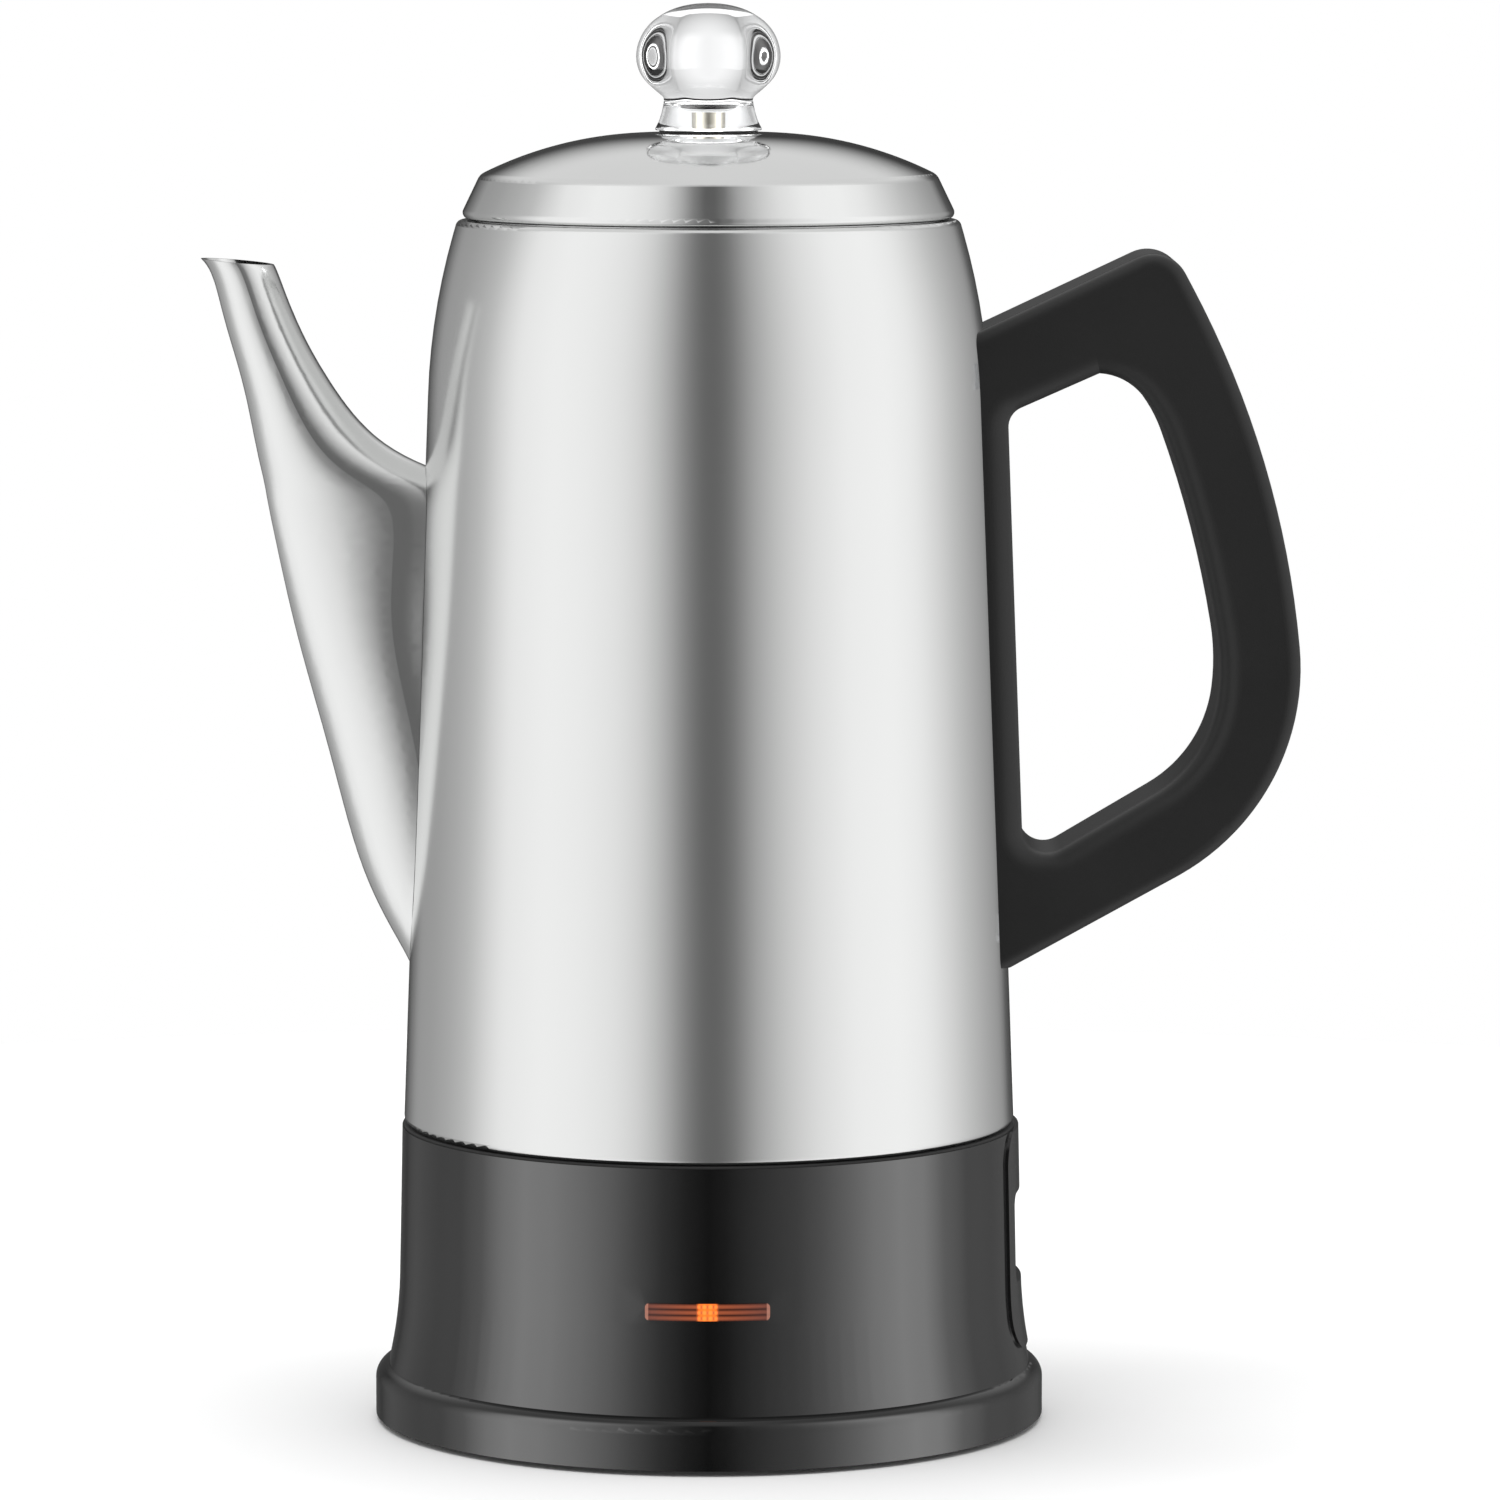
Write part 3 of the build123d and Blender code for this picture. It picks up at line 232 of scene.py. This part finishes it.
def object_place(tree):
    return tree.nodes.new("ShaderNodeTexCoord").outputs["Object"]


def noise(group, scale, detail, vector, roughness=0.5):
    node = group.nodes.new("ShaderNodeTexNoise")
    node.inputs["Scale"].default_value = scale
    node.inputs["Detail"].default_value = detail
    node.inputs["Roughness"].default_value = roughness
    group.links.new(vector, node.inputs["Vector"])
    return node


def build_polish_group():
    """Roughness variation and hair-fine grinding marks that run round an upright wall."""
    group, start, end = node_group(
        "polish_marks", [("Roughness", 0.15), ("Variation", 0.04), ("Marks", 0.3)],
        [("Roughness", "NodeSocketFloat"), ("Height", "NodeSocketFloat")])
    nodes, links = group.nodes, group.links
    place = object_place(group)
    stretch = nodes.new("ShaderNodeMapping")
    stretch.inputs["Scale"].default_value = (1, 1, MARK_STRETCH)
    links.new(place, stretch.inputs["Vector"])
    lines = noise(group, MARK_SCALE, 4, stretch.outputs[0], 0.7)
    haze = noise(group, HAZE_SCALE, 3, place)
    spread = math_node(nodes, links, "SUBTRACT", haze.outputs[0], 0.5)
    spread = math_node(nodes, links, "MULTIPLY", spread, start.outputs["Variation"])
    fine = math_node(nodes, links, "SUBTRACT", lines.outputs[0], 0.5)
    fine = math_node(nodes, links, "MULTIPLY", fine, start.outputs["Variation"])
    total = math_node(nodes, links, "ADD", spread, fine)
    total = math_node(nodes, links, "ADD", total, start.outputs["Roughness"])
    links.new(total, end.inputs["Roughness"])
    height = math_node(nodes, links, "MULTIPLY", lines.outputs[0], start.outputs["Marks"])
    links.new(height, end.inputs["Height"])
    return group


def build_moulding_group():
    """Fine moulded grain, slow waviness and a few dust specks on dark plastic."""
    group, start, end = node_group(
        "moulding_grain", [("Grain Scale", GRAIN_SCALE), ("Grain", 1.0), ("Dust", 0.5), ("Shade", 0.02)],
        [("Color", "NodeSocketColor"), ("Roughness", "NodeSocketFloat"), ("Height", "NodeSocketFloat")])
    nodes, links = group.nodes, group.links
    place = object_place(group)
    grain = noise(group, GRAIN_SCALE, 2, place)
    links.new(start.outputs["Grain Scale"], grain.inputs["Scale"])
    height = math_node(nodes, links, "MULTIPLY", grain.outputs[0], start.outputs["Grain"])
    links.new(height, end.inputs["Height"])
    specks = nodes.new("ShaderNodeTexVoronoi")
    specks.inputs["Scale"].default_value = SPECK_SCALE
    links.new(place, specks.inputs["Vector"])
    mask = nodes.new("ShaderNodeMapRange")
    mask.inputs["From Min"].default_value = SPECK_OUTER
    mask.inputs["From Max"].default_value = SPECK_INNER
    links.new(specks.outputs["Distance"], mask.inputs["Value"])
    patch = noise(group, PATCH_SCALE, 1, place)
    some = math_node(nodes, links, "GREATER_THAN", patch.outputs[0], PATCH_CUT)
    dust = math_node(nodes, links, "MULTIPLY", mask.outputs[0], some)
    dust = math_node(nodes, links, "MULTIPLY", dust, start.outputs["Dust"])
    slow = noise(group, WAVE_SCALE, 3, place)
    shade = math_node(nodes, links, "MULTIPLY_ADD", slow.outputs[0], WAVE_SHADE, start.outputs["Shade"])
    grey = math_node(nodes, links, "ADD", shade, math_node(nodes, links, "MULTIPLY", dust, SPECK_GREY))
    colour = nodes.new("ShaderNodeCombineColor")
    for channel in colour.inputs:
        links.new(grey, channel)
    links.new(colour.outputs[0], end.inputs["Color"])
    rough = math_node(nodes, links, "MULTIPLY_ADD", slow.outputs[0], WAVE_ROUGHNESS, PLAIN_ROUGHNESS)
    links.new(rough, end.inputs["Roughness"])
    return group


POLISH = build_polish_group()
MOULDING = build_moulding_group()


def new_material(name, **sockets):
    """A material with a Principled shader whose constant sockets are set directly."""
    material = bpy.data.materials.new(name)
    material.use_nodes = True
    shader = material.node_tree.nodes["Principled BSDF"]
    for socket, value in sockets.items():
        shader.inputs[socket.replace("_", " ")].default_value = value
    return material, material.node_tree, shader


def use_group(tree, group, **values):
    node = tree.nodes.new("ShaderNodeGroup")
    node.node_tree = group
    for socket, value in values.items():
        node.inputs[socket.replace("_", " ")].default_value = value
    return node


def bump(tree, shader, height, distance, strength=1.0):
    node = tree.nodes.new("ShaderNodeBump")
    node.inputs["Distance"].default_value = distance
    node.inputs["Strength"].default_value = strength
    tree.links.new(height, node.inputs["Height"])
    tree.links.new(node.outputs[0], shader.inputs["Normal"])


def uneven_colour(tree, shader, mask, colour, tint):
    """Base colour that drifts between a colour and one darker by the tint."""
    darker = tuple(channel * (1 - tint) for channel in colour)
    blend = mix_colours(tree.nodes, tree.links, mask, (*colour, 1), (*darker, 1))
    tree.links.new(blend, shader.inputs["Base Color"])


def metal(name, colour, roughness, variation, marks, depth, tint=0.03):
    """Polished metal with a little uneven colour and fine marks."""
    material, tree, shader = new_material(name, Metallic=1.0)
    polish = use_group(tree, POLISH, Roughness=roughness, Variation=variation, Marks=marks)
    tree.links.new(polish.outputs["Roughness"], shader.inputs["Roughness"])
    bump(tree, shader, polish.outputs["Height"], depth)
    clouds = noise(tree, CLOUD_SCALE, 2, object_place(tree))
    uneven_colour(tree, shader, clouds.outputs[0], colour, tint)
    return material


def moulding(name, shade, grain_scale, depth, dust, roughness=None, **sockets):
    """Dark moulded plastic or rubber."""
    material, tree, shader = new_material(name, **sockets)
    grain = use_group(tree, MOULDING, Grain_Scale=grain_scale, Dust=dust, Shade=shade)
    tree.links.new(grain.outputs["Color"], shader.inputs["Base Color"])
    if roughness is None:
        tree.links.new(grain.outputs["Roughness"], shader.inputs["Roughness"])
    else:
        shader.inputs["Roughness"].default_value = roughness
    if depth:
        bump(tree, shader, grain.outputs["Height"], depth)
    return material


def clear_moulding(name, tint, ior):
    """Clear moulded plastic or glass with a hardly visible unevenness."""
    material, tree, shader = new_material(name, Transmission_Weight=1.0, IOR=ior, Roughness=0.0)
    uneven = noise(tree, UNEVEN_SCALE, 2, object_place(tree))
    bump(tree, shader, uneven.outputs[0], UNEVEN_DEPTH)
    uneven_colour(tree, shader, uneven.outputs[0], tint, UNEVEN_TINT)
    return material


# Indicator lens: ribs along it, pale ends, a glow in the middle with four bright spots and a weak halo
LENS_LOW, LENS_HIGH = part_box("indicator_lens")
LENS_MIDDLE = (LENS_LOW[2] + LENS_HIGH[2]) / 2
LENS_HALF = (LENS_HIGH[0] - LENS_LOW[0]) / 2
AMBER_DARK, AMBER_LIGHT, AMBER_END = (0.035, 0.006, 0.003), (0.20, 0.055, 0.035), (0.55, 0.24, 0.17)
GLOW, GLOW_WIDTH, GLOW_STRENGTH = (1.0, 0.20, 0.02), 2.6 * MM, 1.6
GLOW_CORE, HALO = 0.55, 0.16
RIB_PITCH, RIB_SOFTNESS = 1.25 * MM, 0.6
END_WIDTH, END_SHARE = 0.7 * MM, 0.7
SPOT_PITCH, SPOT_DEPTH, BLOCK_LEVEL = 1.3 * MM, 0.5, 0.7


def amber_lens(name):
    """Smoky amber with three lighter ribs, pale ends and the lamp's glow in the middle."""
    material, tree, shader = new_material(name, Roughness=0.12, Emission_Strength=GLOW_STRENGTH)
    nodes, links = tree.nodes, tree.links
    split = nodes.new("ShaderNodeSeparateXYZ")
    links.new(object_place(tree), split.inputs[0])
    x, _, z = split.outputs
    rise = math_node(nodes, links, "SUBTRACT", z, LENS_MIDDLE)
    wave = math_node(nodes, links, "COSINE", math_node(nodes, links, "MULTIPLY", rise, 2 * pi / RIB_PITCH))
    rib = math_node(nodes, links, "MULTIPLY_ADD", wave, 0.5, 0.5)
    rib = math_node(nodes, links, "POWER", rib, RIB_SOFTNESS)
    out = math_node(nodes, links, "ABSOLUTE", x)
    end = math_node(nodes, links, "GREATER_THAN", out, LENS_HALF - END_WIDTH)
    end = math_node(nodes, links, "MULTIPLY", end, END_SHARE)
    body = mix_colours(nodes, links, rib, (*AMBER_DARK, 1), (*AMBER_LIGHT, 1))
    links.new(mix_colours(nodes, links, end, body, (*AMBER_END, 1)), shader.inputs["Base Color"])
    near = nodes.new("ShaderNodeMapRange")
    near.interpolation_type = "SMOOTHSTEP"
    near.inputs["From Min"].default_value = GLOW_WIDTH
    near.inputs["From Max"].default_value = GLOW_WIDTH * GLOW_CORE
    links.new(out, near.inputs["Value"])
    halo = nodes.new("ShaderNodeMapRange")
    halo.inputs["From Min"].default_value = LENS_HALF
    halo.inputs["To Max"].default_value = HALO
    halo.inputs["From Max"].default_value = 0.0
    links.new(out, halo.inputs["Value"])
    spots = math_node(nodes, links, "COSINE", math_node(nodes, links, "MULTIPLY", x, 2 * pi / SPOT_PITCH))
    spots = math_node(nodes, links, "MULTIPLY", math_node(nodes, links, "MULTIPLY", spots, rib), -SPOT_DEPTH)
    level = math_node(nodes, links, "ADD", spots, BLOCK_LEVEL)
    block = math_node(nodes, links, "MULTIPLY", near.outputs[0], level)
    glow = math_node(nodes, links, "ADD", block, math_node(nodes, links, "MULTIPLY", halo.outputs[0], rib))
    links.new(mix_colours(nodes, links, glow, BLACK, (*GLOW, 1)), shader.inputs["Emission Color"])
    return material


FINISHES = {
    "pot_steel": metal("pot_steel", (0.80, 0.805, 0.80), 0.17, 0.03, 1.0, 0.000002),
    "lid_steel": metal("lid_steel", (0.80, 0.805, 0.80), 0.07, 0.02, 1.0, 0.000001),
    "inner_steel": metal("inner_steel", (0.66, 0.66, 0.66), 0.24, 0.08, 1.0, 0.000004),
    "zinc_steel": metal("zinc_steel", (0.62, 0.63, 0.65), 0.32, 0.10, 1.0, 0.000006, 0.15),
    "aluminium": metal("aluminium", (0.72, 0.72, 0.73), 0.45, 0.10, 1.0, 0.00002, 0.12),
    "nickel_brass": metal("nickel_brass", (0.72, 0.68, 0.58), 0.2, 0.06, 1.0, 0.000004, 0.1),
    "element_sheath": metal("element_sheath", (0.22, 0.19, 0.17), 0.42, 0.12, 1.0, 0.00001, 0.4),
    "handle_black": moulding("handle_black", 0.011, 2600, 0.00002, 0.5, IOR=1.40),
    "base_black": moulding("base_black", 0.001, 500, 0, 0, roughness=0.0, IOR=1.5),
    "socket_black": moulding("socket_black", 0.012, 1800, 0.00003, 0.3),
    "rubber": moulding("rubber", 0.018, 1500, 0.00004, 0.8, roughness=0.7),
    "mica": moulding("mica", 0.2, 900, 0.00003, 0.6, roughness=0.5),
    "insulation": moulding("insulation", 0.55, 1500, 0.0001, 0.2, roughness=0.8),
    "clear_knob": clear_moulding("clear_knob", (0.985, 0.99, 0.995), 1.49),
    "amber_lens": amber_lens("amber_lens"),
    "lamp_glass": clear_moulding("lamp_glass", (1.0, 0.62, 0.42), 1.45),
}


def paint_frame():
    """Gives every carried-over node the finish of its material slot."""
    slots = {part["node"]: part["material_slot"] for part in frame["record"]["subparts"]}
    for name, obj in NODES.items():
        material = FINISHES[slots[name]]
        if obj.material_slots:
            for holder in obj.material_slots:
                holder.material = material
        else:
            obj.data.materials.append(material)


paint_frame()

# The studio keeps the handle out of the body's polish
for piece in ("grip", "top_cover", "back_cover", "upper_bracket", "lower_bracket"):
    NODES["handle_" + piece].visible_glossy = False

# --- Clear knob ---------------------------------------------------------------------------------

# Outline from the crown's top down the outside, back up inside the hollow foot, in millimetres
KNOB_OUTLINE = [
    (0.0, 312.9), (2.6, 312.8), (5.0, 312.45), (7.3, 311.75), (9.3, 310.8), (11.2, 309.6), (12.9, 308.1),
    (14.1, 306.4), (15.0, 304.4), (15.5, 302.2), (15.45, 300.2), (14.95, 298.3), (14.0, 296.5),
    (12.7, 294.9), (11.2, 293.6), (9.95, 292.6), (9.7, 292.0), (9.85, 290.8), (10.3, 288.8), (10.9, 286.9),
    (11.75, 285.5), (11.75, 285.1), (10.2, 285.1), (9.3, 287.2), (8.7, 289.4), (8.3, 291.0), (7.9, 291.4),
    (6.5, 291.4), (6.2, 291.1), (6.1, 289.3), (0.0, 289.3),
]
KNOB_STEPS, LOBES = 96, 6
LOBE_TURN = 360 / LOBES
LOBE_SWELL, CREASE_DIP = 0.085, 0.01    # how far lobes stand out and creases lie in, as a share of radius
CROWN_FOOT, CROWN_FULL, CROWN_TOP = 292.6 * MM, 296.0 * MM, 312.0 * MM
FOOT_SHARE = 0.6                        # how much of the lobes the crown's foot has
MERGE = 0.02 * MM


def select_vertices(mesh, test):
    """Selects the vertices whose place passes the test, from edit mode."""
    bpy.ops.mesh.select_all(action="DESELECT")
    bpy.ops.object.mode_set(mode="OBJECT")
    for vertex in mesh.vertices:
        vertex.select = test(vertex.co)
    bpy.ops.object.mode_set(mode="EDIT")


def spun_piece(name, outline, steps):
    """A closed body of revolution from (radius, height) points in millimetres."""
    bpy.ops.object.select_all(action="DESELECT")
    radius, height = outline[0]
    bpy.ops.mesh.primitive_plane_add(size=MM, location=(0, 0, 0))
    piece = bpy.context.object
    piece.name = name
    bpy.ops.object.mode_set(mode="EDIT")
    bpy.ops.mesh.select_mode(type="VERT")
    bpy.ops.mesh.merge(type="CENTER")
    bpy.ops.transform.translate(value=(radius * MM, 0, height * MM))
    for next_radius, next_height in outline[1:]:
        step = ((next_radius - radius) * MM, 0, (next_height - height) * MM)
        bpy.ops.mesh.extrude_vertices_move(TRANSFORM_OT_translate={"value": step})
        radius, height = next_radius, next_height
    bpy.ops.mesh.select_all(action="SELECT")
    bpy.ops.mesh.spin(steps=steps, angle=2 * pi, center=(0, 0, 0), axis=(0, 0, 1))
    bpy.ops.mesh.select_all(action="SELECT")
    bpy.ops.mesh.remove_doubles(threshold=MERGE)
    bpy.ops.mesh.normals_make_consistent(inside=False)
    return piece


def finish_mesh(piece, subdivisions=0, smooth=40):
    """Applies a subdivision and smooth shading, and leaves the object at the origin."""
    bpy.ops.object.select_all(action="DESELECT")
    piece.select_set(True)
    bpy.context.view_layer.objects.active = piece
    if subdivisions:
        bpy.ops.object.modifier_add(type="SUBSURF")
        piece.modifiers[-1].levels = subdivisions
        piece.modifiers[-1].render_levels = subdivisions
        bpy.ops.object.modifier_apply(modifier=piece.modifiers[-1].name)
    bpy.ops.object.transform_apply(location=True, rotation=True, scale=True)
    bpy.ops.object.shade_smooth_by_angle(angle=radians(smooth))


def crease_angle(place):
    """Degrees from the nearest crease, from 0 in a crease to half a lobe's turn on its crown."""
    turn = degrees(atan2(place.y, place.x)) % LOBE_TURN
    return min(turn, LOBE_TURN - turn)


def build_knob():
    """A spun outline whose crown is drawn out, column by column, into six lobes."""
    knob = spun_piece("clear_knob", KNOB_OUTLINE, KNOB_STEPS)
    column = 360 / KNOB_STEPS
    for low, high, share in ((CROWN_FOOT, CROWN_FULL, FOOT_SHARE), (CROWN_FULL, CROWN_TOP, 1.0)):
        for index in range(KNOB_STEPS // LOBES // 2 + 1):
            angle = index * column
            lobe = sin(radians(angle * LOBES / 2))
            factor = 1 + share * (LOBE_SWELL * lobe - CREASE_DIP * (1 - lobe))

            def in_column(place):
                off_axis = hypot(place.x, place.y) > MM
                return low < place.z <= high and off_axis and abs(crease_angle(place) - angle) < column / 2

            select_vertices(knob.data, in_column)
            bpy.ops.transform.resize(value=(factor, factor, 1), center_override=(0, 0, 0))
    bpy.ops.object.mode_set(mode="OBJECT")
    finish_mesh(knob, subdivisions=1)
    knob.data.materials.append(FINISHES["clear_knob"])
    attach(knob, "lid")
    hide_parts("knob")


build_knob()
